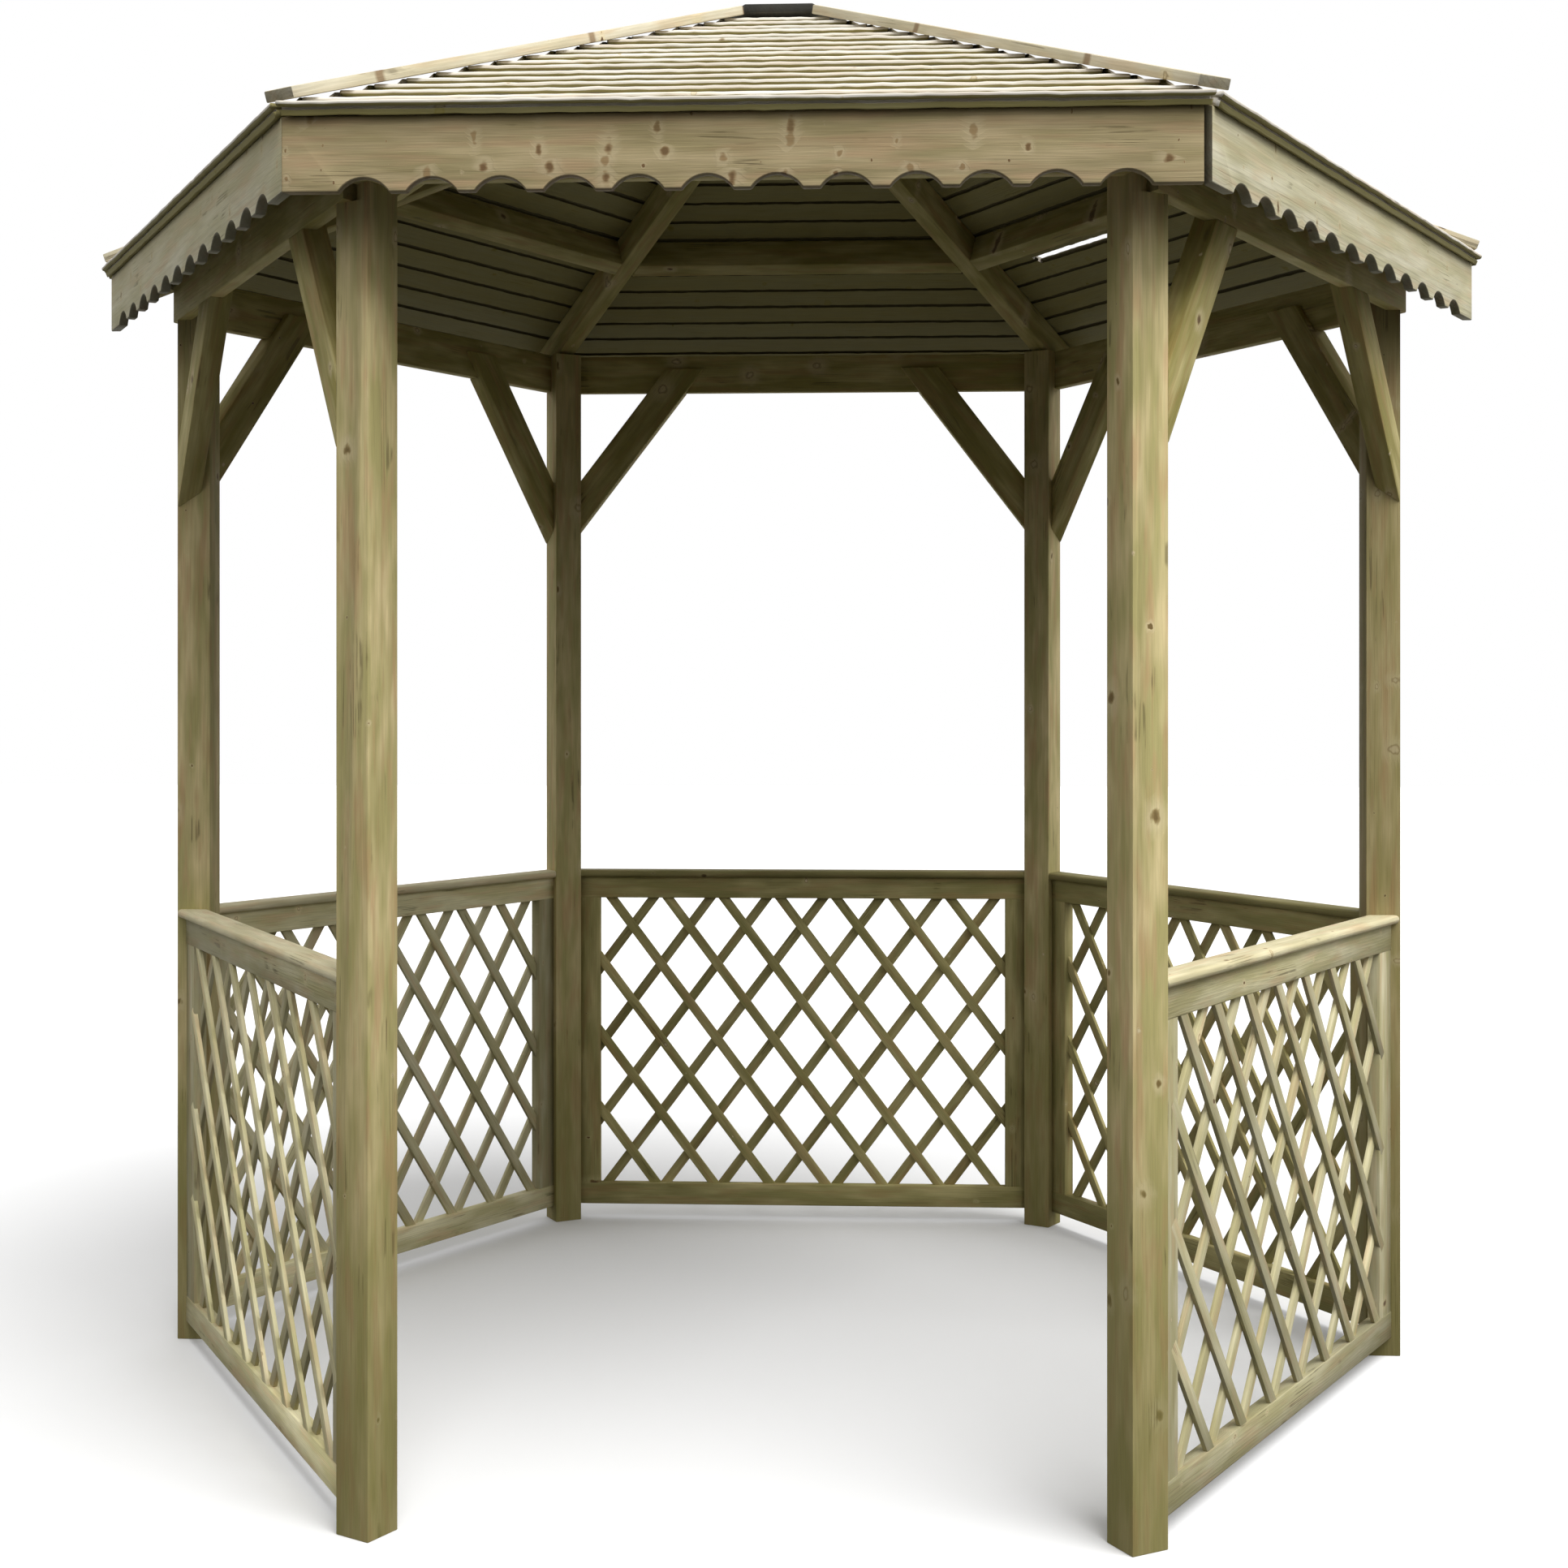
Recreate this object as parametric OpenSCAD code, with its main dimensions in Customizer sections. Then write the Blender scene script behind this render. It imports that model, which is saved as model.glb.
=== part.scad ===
// Hexagonal garden gazebo: an open frame of treated timber under a boarded roof.
// The origin is at ground level in the middle of the plan, and the open bay faces -Y.

/* [Plan] */
// Distance from the middle of the plan to the middle of each post
post_ring_r = 1250; // [1000:10:1800]

/* [Posts] */
// Side of the square posts
post_w = 70; // [60:1:90]
// Height of the posts and of the tops of the wall plates
post_h = 2262; // [2000:2:2600]

/* [Wall plates] */
// Thickness of the plates
plate_t = 28; // [20:1:32]
// Depth of the plates of the closed bays
plate_h = 95; // [80:1:140]
// Depth of the header over the open bay
header_h = 67; // [40:1:75]

/* [Braces] */
// Width of the braces
brace_w = 78; // [50:1:90]
// Thickness of the braces, notched at the top round the plate
brace_t = 45; // [40:1:55]
// Angle between a brace and the ground
brace_angle = 52.5; // [45:0.5:58]
// Distance from the post to the upper edge of a brace at the bottom of the plate
brace_run = 192; // [140:2:260]
// Height of a brace's top above the bottom of the plate
brace_lap = 60; // [40:1:75]

/* [Roof frame] */
// Slope of the roof
roof_angle = 23; // [18:0.5:30]
// Width of the hip rafters
rafter_w = 45; // [38:1:60]
// Depth of the hip rafters
rafter_h = 70; // [60:1:100]
// Depth of the rafter's seat on the corner of the plates
seat_cut = 24; // [10:1:30]
// Width of the purlins along the slope
purlin_w = 45; // [30:1:60]
// Depth of the purlins
purlin_h = 70; // [50:1:80]
// Distance from the middle of the plan to the upper side of a purlin
purlin_a = 735; // [500:5:850]
// Width of the king block between its flat sides
king_w = 120; // [110:2:150]
// Distance of the king block's foot below the rafters
king_drop = 25; // [10:1:60]

/* [Roof skin] */
// Thickness of the roof boards
roof_t = 24; // [18:1:30]
// Distance of the boards' lower edge beyond the fascia
eave_lip = 16; // [5:1:30]
// Distance from the middle of the plan to the top edge of the boards
roof_open_a = 112; // [90:1:118]
// Width of one board down the slope, measured in plan
board_pitch = 68; // [60:1:80]
// Height of a board's lower edge above the board that it laps
board_step = 11; // [4:1:14]
// Width of the open joint in the right-hand back slope
slot_w = 20; // [6:1:24]
// Length of the open joint
slot_len = 400; // [200:10:420]
// Width of the hip boards
hip_w = 60; // [50:1:80]
// Thickness of the hip boards
hip_t = 18; // [14:1:24]
// Distance of the hip boards' ends from the corners of the eaves
hip_short = 16; // [0:1:25]
// Side of the hexagonal cap at the peak
cap_side = 141; // [138:1:170]
// Thickness of the cap
cap_t = 18; // [12:1:30]

/* [Fascias] */
// Distance of the fascias' outer faces beyond the plates
eave_reach = 117; // [100:1:180]
// Thickness of the fascias
fascia_t = 18; // [15:1:24]
// Height of the fascias
fascia_h = 118; // [100:1:140]
// Number of scallops along a fascia
scallops = 12; // [6:1:12]
// Distance between scallops
scallop_pitch = 107.5; // [100:0.5:110]
// Width of a scallop
scallop_w = 80; // [60:1:90]
// Depth of a scallop
scallop_d = 22; // [15:1:30]
// Width of the open joint at the right-hand end of the front fascia
fascia_joint = 12; // [4:1:16]

/* [Trellis panels] */
// Height of the panels above the ground
panel_up = 38; // [20:1:80]
// Height of the panels' frames
panel_h = 858; // [760:2:950]
// Thickness of the panels' frames
panel_t = 28; // [24:1:40]
// Height of the bottom and top rails
rail_w = 55; // [45:1:70]
// Width of the stiles
stile_w = 65; // [45:1:75]
// Width of the laths
lath_w = 24; // [18:1:32]
// Thickness of one layer of laths
lath_t = 8; // [6:1:10]
// Distance of the laths behind the outer faces of the frames
lath_set = 1; // [0:1:4]
// Number of laths each way
laths = 10; // [9:1:11]
// Laths each way that start below the top rail
side_laths = 3; // [2:1:3]
// Distance between laths along the rails
lath_pitch = 148.5; // [140:0.5:155]
// Angle between a lath and the ground
lath_angle = 53; // [50:0.5:55]
// Distance of the first lath from the stile, under the top rail
lath_first = 27; // [15:1:35]

/* [Handrails] */
// Width of the handrails
handrail_w = 60; // [50:1:68]
// Thickness of the handrails
handrail_t = 18; // [14:1:30]

/* [Hidden] */

$fn = 48;
// Overrun of cuts past the faces that they open
over = 5;
// Depth of the laths' ends in the grooves of the frame
lath_groove = 12;
// Bite of one layer of laths into the other where they cross
lath_bite = 1;
// Least width of the first and last roof boards, as a share of a whole one
short_board_share = 0.7;

// Plan angles: the posts stand every sixth of a turn, and the bays lie half way between
sides = 6;
turn = 360 / sides;
half = turn / 2;
front = 270;
right_front = 330;
right_back = 30;
back = 90;
left_back = 150;
left_front = 210;

// Distances from the middle of the plan, square to a bay: the plates are flush with the posts' outer edges
bay_a = post_ring_r * cos(half) + post_w / 2 * sin(half);
plate_out_a = bay_a + post_w / 2 * cos(half);
plate_in_a = plate_out_a - plate_t;
brace_in_a = plate_out_a - brace_t;
fascia_out_a = plate_out_a + eave_reach;
fascia_in_a = fascia_out_a - fascia_t;
eave_a = fascia_out_a + eave_lip;
plan_r = 2 * eave_a;

// Slopes of the roof and of its hips, and heights of its faces
slope = tan(roof_angle);
hip_slope = slope * cos(half);
hip_angle = atan(hip_slope);
rafter_rise = rafter_h / cos(hip_angle);
rafter_clear = rafter_w / 2 * sin(half) * slope;
skin_rise = roof_t / cos(roof_angle);
seat_z = post_h - seat_cut + rafter_rise + rafter_clear;
function under_z(a) = seat_z + (plate_out_a - a) * slope;
function ridge_z(r) = under_z(r * cos(half)) + skin_rise;
cap_z = under_z(roof_open_a) + skin_rise;
fascia_z = under_z(fascia_out_a) - fascia_h;
plate_z = post_h - plate_h;
slot_a = purlin_a + 2 * board_pitch;

// Joints between the roof boards, counted both ways from the open one
inner_joints = floor((slot_a - roof_open_a) / board_pitch - short_board_share);
outer_joints = floor((eave_a - slot_a) / board_pitch - short_board_share);
joints = [for (i = [-inner_joints:outer_joints]) slot_a + i * board_pitch];

// Half the clear length of a bay between posts, and of a slope between rafters
function bay_half(a) = a * tan(half) - post_w / 2 / cos(half);
function slope_half(a) = a * tan(half) - rafter_w / 2 / cos(half);

// Colours of the timber and of the cap
timber = "burlywood";
pale_timber = "wheat";
shaded_timber = "darkkhaki";
roofing = "tan";
dark = "dimgray";

// Turns a bay's own axes, X outwards and Y along the bay, to their place
module at(angle) {
    rotate([0, 0, angle]) children();
}

// A board along a bay between two distances from the middle, mitred at the corners
module mitred(a0, a1, z0, height) {
    translate([0, 0, z0])
        linear_extrude(height)
            polygon([
                [a0, -a0 * tan(half)], [a1, -a1 * tan(half)],
                [a1, a1 * tan(half)], [a0, a0 * tan(half)]
            ]);
}

// A board along a bay, cut to the sides of the two posts
module between_posts(a0, a1, z0, height) {
    translate([0, 0, z0])
        linear_extrude(height)
            polygon([
                [a0, -bay_half(a0)], [a1, -bay_half(a1)],
                [a1, bay_half(a1)], [a0, bay_half(a0)]
            ]);
}

// A section in the plane square to a bay, drawn out along the bay
module along_bay(length) {
    translate([0, length / 2, 0])
        rotate([90, 0, 0])
            linear_extrude(length) children();
}

// A profile drawn along the bay and upwards, given its thickness outwards from a0
module flat_in_bay(a0, thickness) {
    translate([a0, 0, 0])
        rotate([90, 0, 90])
            linear_extrude(thickness) children();
}

// A post, with its top cut back for the plates of the bays on its two sides
module post(angle, before_h, after_h) {
    color(timber)
        at(angle)
            difference() {
                translate([post_ring_r - post_w / 2, -post_w / 2, 0])
                    cube([post_w, post_w, post_h]);
                for (side = [[-half, before_h], [half, after_h]])
                    at(side[0])
                        translate([plate_in_a, -post_ring_r, post_h - side[1]])
                            cube([post_w, 2 * post_ring_r, side[1] + over]);
            }
}

// A wall plate or header, its top level with the posts
module plate(angle, depth) {
    color(shaded_timber)
        at(angle) mitred(plate_in_a, plate_out_a, post_h - depth, depth);
}

// The two braces of a bay, flush outside with its plate, notched round it and cut to the posts
module braces(angle) {
    rise = tan(brace_angle);
    depth = brace_w / cos(brace_angle);
    start = -post_w;
    top = plate_z + brace_lap;
    face_y = bay_half(bay_a);
    color(shaded_timber)
        at(angle)
            for (side = [0, 1])
                mirror([0, side, 0])
                    difference() {
                        intersection() {
                            flat_in_bay(brace_in_a, brace_t)
                                translate([face_y, 0])
                                    polygon([
                                        [-start, plate_z + (start - brace_run) * rise],
                                        [-brace_run - brace_lap / rise, top],
                                        [-brace_run - (brace_lap + depth) / rise, top],
                                        [-start, plate_z + (start - brace_run) * rise - depth]
                                    ]);
                            between_posts(brace_in_a, plate_out_a, 0, post_h);
                        }
                        translate([plate_in_a, -post_ring_r, plate_z])
                            cube([plate_t + over, 2 * post_ring_r, plate_h]);
                    }
}

// The hip rafters, seated on the corners of the plates and cut to the fascias
module hip_rafters() {
    foot_r = plate_out_a / cos(half);
    tail_r = fascia_out_a / cos(half);
    king_a = king_w / 2;
    color(shaded_timber)
        for (i = [0:sides - 1])
            at(i * turn)
                difference() {
                    intersection() {
                        along_bay(rafter_w)
                            polygon([
                                for (p = [[king_a, 0], [tail_r, 0], [tail_r, 1], [king_a, 1]])
                                    [p[0], under_z(p[0] * cos(half)) - rafter_clear - p[1] * rafter_rise]
                            ]);
                        cylinder(h = cap_z, r = fascia_in_a / cos(half), $fn = sides);
                    }
                    translate([0, -rafter_w, 0])
                        cube([foot_r, 2 * rafter_w, post_h]);
                }
}

// The purlins, square to the slope under the boards and fitted between the rafters
module purlins() {
    low_a = purlin_a + purlin_w;
    high_a = purlin_a - purlin_h;
    color(shaded_timber)
        for (i = [0:sides - 1])
            at(half + i * turn)
                intersection() {
                    translate([purlin_a, -low_a, under_z(purlin_a)])
                        rotate([0, roof_angle, 0])
                            translate([0, 0, -purlin_h])
                                cube([purlin_w, 2 * low_a, purlin_h]);
                    linear_extrude(cap_z)
                        polygon([
                            [high_a, -slope_half(high_a)], [low_a, -slope_half(low_a)],
                            [low_a, slope_half(low_a)], [high_a, slope_half(high_a)]
                        ]);
                }
}

// The block that the rafters meet at the peak, a flat side to each
module king_block() {
    top = under_z(king_w / 2 / cos(half)) - rafter_clear;
    foot = under_z(king_w / 2 * cos(half)) - rafter_clear - rafter_rise - king_drop;
    color(timber)
        translate([0, 0, foot])
            rotate([0, 0, half])
                cylinder(h = top - foot, r = king_w / 2 / cos(half), $fn = sides);
}

// One slope of lapped boards, meeting its neighbours at the hips
module roof(angle) {
    color(roofing)
        at(angle)
            intersection() {
                along_bay(plan_r)
                    polygon([
                        [roof_open_a, under_z(roof_open_a)],
                        [eave_a, under_z(eave_a)],
                        [eave_a, under_z(eave_a) + skin_rise],
                        for (i = [len(joints) - 1:-1:0])
                            for (drop = [board_step, 0])
                                [joints[i], under_z(joints[i]) + skin_rise - drop],
                        [roof_open_a, under_z(roof_open_a) + skin_rise]
                    ]);
                mitred(roof_open_a, eave_a, 0, plan_r + post_h);
            }
}

// The slope with the open joint between two boards, from the purlin's middle to the left
module jointed_roof(angle) {
    difference() {
        roof(angle);
        color(roofing)
            at(angle)
                translate([slot_a - slot_w / 2, -slot_len / 6, 0])
                    cube([slot_w, slot_len, cap_z]);
    }
}

// A fascia under the eaves, mitred at the corners, its lower edge scalloped
module fascia(angle) {
    scallop_r = (scallop_w * scallop_w / 4 + scallop_d * scallop_d) / (2 * scallop_d);
    color(pale_timber)
        at(angle)
            difference() {
                intersection() {
                    along_bay(plan_r)
                        polygon([
                            [fascia_in_a, fascia_z], [fascia_out_a, fascia_z],
                            [fascia_out_a, under_z(fascia_out_a)], [fascia_in_a, under_z(fascia_in_a)]
                        ]);
                    mitred(fascia_in_a, fascia_out_a, 0, plan_r + post_h);
                }
                for (i = [0:scallops - 1])
                    translate([
                        fascia_in_a - over,
                        (i - (scallops - 1) / 2) * scallop_pitch,
                        fascia_z + scallop_d - scallop_r
                    ])
                        rotate([0, 90, 0])
                            cylinder(h = fascia_t + 2 * over, r = scallop_r);
            }
}

// The front fascia, cut short at its right-hand end
module open_fascia(angle) {
    difference() {
        fascia(angle);
        color(pale_timber)
            at(angle)
                translate([fascia_in_a - over, fascia_out_a * tan(half) - fascia_joint, fascia_z - over])
                    cube([fascia_t + 2 * over, fascia_joint + over, fascia_h + fascia_t + 2 * over]);
    }
}

// The boards over the hips, lying on the ridge lines, each cut to a point at a corner of the cap
module hip_boards() {
    out_r = eave_a / cos(half) - hip_short;
    length = (out_r - cap_side) / cos(hip_angle);
    point = hip_w / 2 / tan(half) / cos(hip_angle);
    color(roofing)
        for (i = [0:sides - 1])
            at(i * turn)
                translate([out_r, 0, ridge_z(out_r)])
                    rotate([0, hip_angle, 0])
                        linear_extrude(hip_t)
                            polygon([
                                [0, -hip_w / 2], [0, hip_w / 2],
                                [point - length, hip_w / 2], [-length, 0], [point - length, -hip_w / 2]
                            ]);
}

// The hexagonal cap over the opening at the peak, on the top edges of the slopes
module peak_cap() {
    color(dark)
        translate([0, 0, cap_z])
            cylinder(h = cap_t, r = cap_side, $fn = sides);
}

// One layer of a panel's laths, sloping the same way
module lath_layer(a0, opening_w, opening_h) {
    reach = opening_w + opening_h;
    flat_in_bay(a0, lath_t + lath_bite / 2)
        intersection() {
            translate([-opening_w / 2 - lath_groove, -lath_groove])
                square([opening_w + 2 * lath_groove, opening_h + 2 * lath_groove]);
            for (i = [0:laths - 1])
                translate([-opening_w / 2 + lath_first + (i - side_laths) * lath_pitch, opening_h])
                    rotate(-lath_angle)
                        translate([-reach, -lath_w / 2])
                            square([2 * reach, lath_w]);
        }
}

// A trellis panel: a frame between the posts with crossed laths in its grooves, near its outer face
module trellis(angle) {
    low_a = bay_a - panel_t / 2;
    lath_a = low_a + panel_t - lath_set - lath_t;
    opening_w = 2 * (bay_half(bay_a) - stile_w);
    opening_h = panel_h - 2 * rail_w;
    color(timber)
        at(angle)
            union() {
                difference() {
                    between_posts(low_a, low_a + panel_t, panel_up, panel_h);
                    translate([low_a - over, -opening_w / 2, panel_up + rail_w])
                        cube([panel_t + 2 * over, opening_w, opening_h]);
                }
                translate([0, 0, panel_up + rail_w]) {
                    lath_layer(lath_a - lath_bite / 2, opening_w, opening_h);
                    mirror([0, 1, 0])
                        lath_layer(lath_a - lath_t, opening_w, opening_h);
                }
            }
}

// A handrail on a panel, cut to the posts
module handrail(angle) {
    color(pale_timber)
        at(angle)
            between_posts(bay_a - handrail_w / 2, bay_a + handrail_w / 2, panel_up + panel_h, handrail_t);
}

post(0 * turn, plate_h, plate_h);  // post_right
post(1 * turn, plate_h, plate_h);  // post_back_right
post(2 * turn, plate_h, plate_h);  // post_back_left
post(3 * turn, plate_h, plate_h);  // post_left
post(4 * turn, plate_h, header_h);  // post_front_left
post(5 * turn, header_h, plate_h);  // post_front_right
plate(front, header_h);  // front_header
plate(right_front, plate_h);  // plate_right_front
plate(right_back, plate_h);  // plate_right_back
plate(back, plate_h);  // plate_back
plate(left_back, plate_h);  // plate_left_back
plate(left_front, plate_h);  // plate_left_front
braces(right_front);  // braces_right_front
braces(right_back);  // braces_right_back
braces(back);  // braces_back
braces(left_back);  // braces_left_back
braces(left_front);  // braces_left_front
hip_rafters();
purlins();
king_block();
roof(front);  // roof_front
roof(right_front);  // roof_right_front
jointed_roof(right_back);  // roof_right_back
roof(back);  // roof_back
roof(left_back);  // roof_left_back
roof(left_front);  // roof_left_front
open_fascia(front);  // fascia_front
fascia(right_front);  // fascia_right_front
fascia(left_front);  // fascia_left_front
hip_boards();
peak_cap();
trellis(right_front);  // trellis_right_front
trellis(right_back);  // trellis_right_back
trellis(back);  // trellis_back
trellis(left_back);  // trellis_left_back
trellis(left_front);  // trellis_left_front
handrail(right_front);  // handrail_right_front
handrail(right_back);  // handrail_right_back
handrail(back);  // handrail_back
handrail(left_back);  // handrail_left_back
handrail(left_front);  // handrail_left_front
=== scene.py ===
import math
import random

import bpy
import numpy as np
from mathutils import Matrix, Vector


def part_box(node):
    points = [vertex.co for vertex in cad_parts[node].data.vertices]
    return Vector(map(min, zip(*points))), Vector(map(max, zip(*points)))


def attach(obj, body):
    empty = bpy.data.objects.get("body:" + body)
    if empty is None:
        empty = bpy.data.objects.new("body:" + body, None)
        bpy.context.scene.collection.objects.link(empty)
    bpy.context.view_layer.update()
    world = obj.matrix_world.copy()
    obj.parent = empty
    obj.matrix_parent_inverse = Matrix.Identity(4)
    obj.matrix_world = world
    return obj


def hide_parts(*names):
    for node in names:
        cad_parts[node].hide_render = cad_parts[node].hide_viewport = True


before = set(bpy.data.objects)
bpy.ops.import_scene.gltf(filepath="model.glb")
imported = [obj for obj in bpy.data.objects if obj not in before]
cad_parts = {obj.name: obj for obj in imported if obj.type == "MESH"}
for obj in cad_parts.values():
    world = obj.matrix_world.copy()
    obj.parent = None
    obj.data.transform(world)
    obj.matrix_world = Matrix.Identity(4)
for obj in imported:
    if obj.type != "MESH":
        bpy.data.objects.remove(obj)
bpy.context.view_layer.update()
draw = random.Random(41)  # one seeded source for every board's own grain, tone and lie

up = Vector((0, 0, 1))
posts = {"right": 0, "back_right": 60, "back_left": 120, "left": 180, "front_left": 240, "front_right": 300}
closedBays = {"right_front": 330, "right_back": 30, "back": 90, "left_back": 150, "left_front": 210}
allBays = {"front": 270, **closedBays}
postRing, postSide = 1.25, 0.07
hipCut = math.radians(30)  # half of one bay, seen from the middle
roofAngle = math.radians(23)
hipAngle = math.atan(math.tan(roofAngle) * math.cos(hipCut))
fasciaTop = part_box("fascia_front")[1].z
# how pieces are handled: welding distance, flat and sharp angles, cosines for edges along a board and for end grain
handling = {"weld": 0.00002, "flat": math.radians(0.5), "sharp": math.radians(35), "sharpNose": math.radians(40),
            "parallel": 0.98, "endGrain": 0.75}


# Small tools for handling a piece

def onlySelect(*pieces):
    if bpy.context.object and bpy.context.object.mode != "OBJECT":
        bpy.ops.object.mode_set(mode="OBJECT")
    bpy.ops.object.select_all(action="DESELECT")
    for piece in pieces:
        piece.select_set(True)
    bpy.context.view_layer.objects.active = pieces[0]


def selectEdges(piece, wanted):
    onlySelect(piece)
    mesh = piece.data
    for part in (*mesh.vertices, *mesh.polygons):
        part.select = False
    for edge in mesh.edges:
        edge.select = wanted(*(mesh.vertices[i].co for i in edge.vertices))
    bpy.ops.object.mode_set(mode="EDIT")
    bpy.ops.mesh.select_mode(type="EDGE")


def selectFaces(piece, wanted):
    onlySelect(piece)
    mesh = piece.data
    for part in (*mesh.vertices, *mesh.edges):
        part.select = False
    for face in mesh.polygons:
        face.select = wanted(face.center, face.normal)
    bpy.ops.object.mode_set(mode="EDIT")
    bpy.ops.mesh.select_mode(type="FACE")


def nodeCopy(node, name):
    piece = bpy.data.objects.new(name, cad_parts[node].data.copy())
    bpy.context.scene.collection.objects.link(piece)
    piece.data.materials.clear()
    onlySelect(piece)
    bpy.ops.mesh.customdata_custom_splitnormals_clear()
    bpy.ops.object.mode_set(mode="EDIT")
    bpy.ops.mesh.select_all(action="SELECT")
    bpy.ops.mesh.remove_doubles(threshold=handling["weld"])
    bpy.ops.mesh.dissolve_limited(angle_limit=handling["flat"])
    bpy.ops.object.mode_set(mode="OBJECT")
    return piece


def loosePieces(piece):
    onlySelect(piece)
    bpy.ops.mesh.separate(type="LOOSE")
    return list(bpy.context.selected_objects)


def copyPiece(piece):
    copy = piece.copy()
    copy.data = piece.data.copy()
    bpy.context.scene.collection.objects.link(copy)
    return copy


def joinPieces(name, parts):
    onlySelect(*parts)
    if len(parts) > 1:
        bpy.ops.object.join()
    joined = bpy.context.object
    joined.name = joined.data.name = name
    return joined


def setPlace(piece, place):
    piece.matrix_world = place
    onlySelect(piece)
    bpy.ops.object.transform_apply(location=True, rotation=True, scale=True)


def soften(piece, width, segments=2):
    onlySelect(piece)
    bevel = piece.modifiers.new("wornEdges", "BEVEL")
    bevel.width = width
    bevel.segments = segments
    bevel.limit_method = "ANGLE"
    bevel.angle_limit = handling["sharp"]
    bpy.ops.object.modifier_apply(modifier=bevel.name)
    bpy.ops.object.shade_smooth_by_angle(angle=handling["sharp"])


def roundLong(piece, along, width, segments):
    selectEdges(piece, lambda a, b: abs((b - a).normalized().dot(along)) > handling["parallel"])
    bpy.ops.mesh.bevel(offset=width, segments=segments, affect="EDGES")
    bpy.ops.object.mode_set(mode="OBJECT")
    bpy.ops.object.shade_smooth_by_angle(angle=handling["sharpNose"])


def cutAway(piece, at, facing):
    onlySelect(piece)
    bpy.ops.object.mode_set(mode="EDIT")
    bpy.ops.mesh.select_all(action="SELECT")
    bpy.ops.mesh.bisect(plane_co=at, plane_no=facing, use_fill=True, clear_outer=True)
    bpy.ops.object.mode_set(mode="OBJECT")


# Each timber carries its own grain: metres along, across and through it, measured from the heart of its log
logs = {"heart": (0.03, 0.085), "start": (2, 60)}  # how far off the heart and where along the log it was sawn


def layGrain(timber, along, across, tones=(0, 1)):
    mesh = timber.data
    along, across = Vector(along).normalized(), Vector(across).normalized()
    axes = np.array([along, across, along.cross(across)])
    spots = np.empty(len(mesh.vertices) * 3)
    mesh.vertices.foreach_get("co", spots)
    lengths = spots.reshape(-1, 3) @ axes.T
    lengths -= (lengths.min(0) + lengths.max(0)) / 2
    heart, side = draw.uniform(*logs["heart"]), draw.uniform(0, 2 * math.pi)
    lengths += (draw.uniform(*logs["start"]), heart * math.cos(side), heart * math.sin(side))
    grain = mesh.attributes.new("grain", "FLOAT_VECTOR", "POINT")
    grain.data.foreach_set("vector", lengths.astype(np.float32).ravel())
    tone = mesh.attributes.new("tone", "FLOAT", "POINT")
    tone.data.foreach_set("value", np.full(len(mesh.vertices), draw.uniform(*tones), np.float32))
    ends = np.array([abs(face.normal.dot(along)) > handling["endGrain"] for face in mesh.polygons], np.float32)
    end = mesh.attributes.new("end", "FLOAT", "FACE")
    end.data.foreach_set("value", ends)
    return timber


def bayAxes(degrees):
    turn = math.radians(degrees)
    return Vector((math.cos(turn), math.sin(turn), 0)), Vector((-math.sin(turn), math.cos(turn), 0))


def middleOf(piece):
    corners = [Vector(corner) for corner in piece.bound_box]
    return sum(corners, Vector()) / len(corners)


def outwardOf(piece):
    middle = middleOf(piece)
    return Vector((middle.x, middle.y, 0)).normalized()


def dress(piece, material, slot, *nodes):
    piece.data.materials.clear()
    piece.data.materials.append(material)
    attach(piece, "root")
    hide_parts(*nodes)


# Materials

def linear(hexColour):
    channels = [int(hexColour[i:i + 2], 16) / 255 for i in (1, 3, 5)]
    return [c / 12.92 if c <= 0.04045 else ((c + 0.055) / 1.055) ** 2.4 for c in channels] + [1]


def addNode(tree, kind, links=None, **settings):
    made = tree.nodes.new(kind)
    for name, value in settings.items():
        setattr(made, name, value)
    for socket, value in (links or {}).items():
        if isinstance(value, bpy.types.NodeSocket):
            tree.links.new(value, made.inputs[socket])
        else:
            made.inputs[socket].default_value = value
    return made


# Pressure-treated pine, planed. Soft streaks 5 to 15 mm wide run along it, rose, olive and pale beige, over
# faint year rings; knots are soft ovals that bend the rings, mostly pale with a darker rim; fine fibres give
# the sheenless surface its grain, and a few seasoning cracks are drawn 1 mm wide so that they show. Sizes are in
# millimetres and knotSpread in degrees round the log; the reach of the darker foot is in metres over the ground,
# that of the painted eave shade in metres from the top of the fascia
pineLook = {
    "pale": "#d4c392", "olive": "#aba26c", "rose": "#b8946c", "late": "#8f7a4a", "rim": "#7a6038",
    "heart": "#d9caa2", "dark": "#5d4630", "flare": "#d8c9a0", "crack": "#4a3c24",
    "ring": 7, "wander": 30, "lateShare": 0.2, "roseShare": 0.55, "oliveShare": 0.5,
    "knotStep": 190, "knotSpread": 75, "knotLong": 1.5, "knotShare": 0.4, "knotSize": 9, "darkKnots": 0.7,
    "crackShare": 0.5, "uneven": 0.07, "endShade": 0.55, "rough": 0.74,
    "rimShare": 0.75, "heartShare": 0.85, "flareShare": 0.55, "stainShare": 0.75, "footShare": 0.6,
    "underShare": 0.88, "jointShare": 0.8, "mostWearAndShade": 0.9, "leastWearAndShade": 0.4, "eaveShare": 0.6,
    "footReach": (1.1, 0.3), "footUneven": 0.35, "eaveReach": (-0.07, 0.03), "eaveUneven": 0.06,
    "knotBend": 7, "relief": 0.8,
}


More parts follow.
